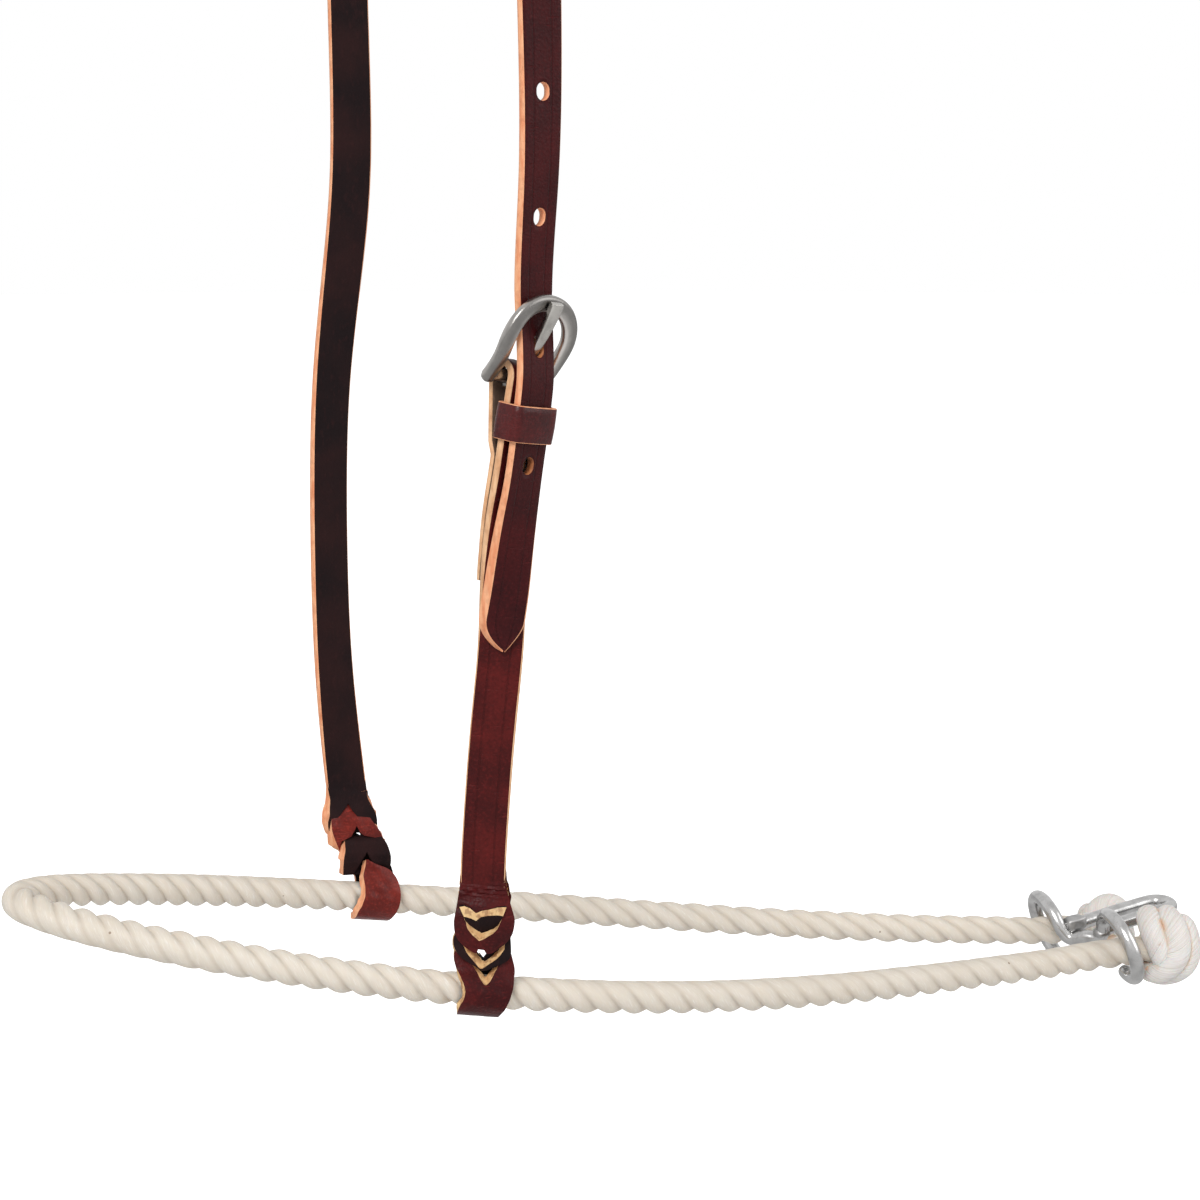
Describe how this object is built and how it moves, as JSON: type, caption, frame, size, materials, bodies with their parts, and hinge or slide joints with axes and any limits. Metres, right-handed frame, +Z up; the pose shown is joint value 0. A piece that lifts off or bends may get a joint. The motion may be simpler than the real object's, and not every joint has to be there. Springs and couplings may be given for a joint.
{
  "type": "rope noseband",
  "caption": "Laid-rope noseband hung by braided loops from a buckled leather headstall, its knotted ends run through a ring wire with a welded tie-down loop.",
  "frame": {"origin": "middle of the crown's underside, where the strap lies over the poll", "axes": "+Z up towards the crown, -X towards the horse's nose, -Y towards its left side, where the buckle is"},
  "size_m": [0.3998, 0.1357, 0.4796],
  "materials": {
    "burgundy_leather": "dark burgundy bridle leather, waxed grain side, natural cut edges",
    "near_cheek_leather": "dark burgundy bridle leather, pale cut edges",
    "keeper_leather": "thin polished burgundy leather",
    "near_braid_leather": "burgundy leather, split and braided",
    "far_braid_leather": "burgundy leather, split and braided",
    "satin_steel": "satin stainless steel",
    "tongue_steel": "satin stainless steel",
    "post_steel": "nickelled steel",
    "screw_steel": "nickelled steel",
    "waxed_rope": "cream laid rope, waxed smooth",
    "near_knot_strands": "white rope strands, heat-set knot",
    "far_knot_strands": "white rope strands, heat-set knot",
    "ring_steel": "polished stainless wire",
    "tie_loop_steel": "polished stainless wire"
  },
  "bodies": {
    "headstall": {"crown_strap": "burgundy_leather", "near_cheek_strap": "near_cheek_leather", "upper_screw_post": "post_steel", "lower_screw_post": "post_steel", "upper_screw": "screw_steel", "lower_screw": "screw_steel"},
    "keeper": {"keeper": "keeper_leather"},
    "buckle": {"buckle_frame": "satin_steel"},
    "tongue": {"buckle_tongue": "tongue_steel"},
    "hangers": {"near_hanger": "near_braid_leather", "far_hanger": "far_braid_leather"},
    "noseband": {"noseband_rope": "waxed_rope", "near_end_knot": "near_knot_strands", "far_end_knot": "far_knot_strands"},
    "hardware": {"ring_wire": "ring_steel", "tie_down_loop": "tie_loop_steel"}
  },
  "joints": [
    {"name": "keeper_slide", "type": "slide", "parent": "headstall", "child": "keeper", "axis": [0.1574, -0.0414, 0.9867], "range_m": [-0.0012, 0.0002]},
    {"name": "buckle_hinge", "type": "hinge", "parent": "headstall", "child": "buckle", "pos_m": [0.00272, -0.05595, -0.25426], "axis": [0.9369, 0.3171, -0.1475], "range_deg": [0, 3]},
    {"name": "tongue_hinge", "type": "hinge", "parent": "buckle", "child": "tongue", "pos_m": [0.00272, -0.05595, -0.25426], "axis": [0.9369, 0.3171, -0.1475], "range_deg": [0, 5]},
    {"name": "hanger_pitch", "type": "hinge", "parent": "headstall", "child": "hangers", "pos_m": [-0.0065, -0.05087, -0.408], "axis": [-0.0461, 0.9989, 0], "range_deg": [-12, 12]},
    {"name": "rope_slide", "type": "slide", "parent": "hangers", "child": "noseband", "axis": [0.9824, 0, -0.1868], "range_m": [-0.005, 0.003]},
    {"name": "hardware_slide", "type": "slide", "parent": "noseband", "child": "hardware", "axis": [0.9992, 0, -0.04], "range_m": [-0.024, 0]}
  ]
}
